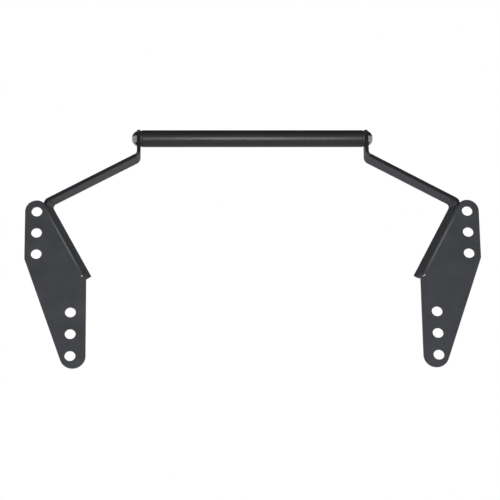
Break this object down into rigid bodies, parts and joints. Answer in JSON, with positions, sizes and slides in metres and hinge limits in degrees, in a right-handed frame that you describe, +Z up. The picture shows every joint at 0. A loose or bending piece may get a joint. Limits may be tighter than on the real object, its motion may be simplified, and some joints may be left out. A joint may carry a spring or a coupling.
{
  "type": "pull up bar",
  "caption": "Rack-mounted pull-up bar: a round steel tube bolted between a mirrored pair of bent sheet-steel brackets, each with a drilled flat plate for an upright.",
  "frame": {"origin": "middle of the grip tube, on its axis", "axes": "+X along the tube to the right as seen from the user's side, +Y back towards the uprights, +Z up"},
  "size_m": [1.014, 0.1261, 0.539],
  "materials": {
    "bracket_coat": "fine texture powder coat",
    "tube_coat": "satin black",
    "plug_steel": "black oxide",
    "bolt_zinc": "bright zinc"
  },
  "bodies": {
    "bar": {"grip_tube": "tube_coat", "left_end_plug": "plug_steel", "right_end_plug": "plug_steel", "left_end_bolt": "bolt_zinc", "right_end_bolt": "bolt_zinc"},
    "left_side": {"left_bracket": "bracket_coat"},
    "right_side": {"right_bracket": "bracket_coat"}
  },
  "joints": [
    {"name": "left_swivel", "type": "hinge", "parent": "bar", "child": "left_side", "pos_m": [-0.254, 0, 0], "axis": [1, 0, 0], "continuous": true},
    {"name": "right_swivel", "type": "hinge", "parent": "bar", "child": "right_side", "pos_m": [0.254, 0, 0], "axis": [1, 0, 0], "continuous": true}
  ]
}
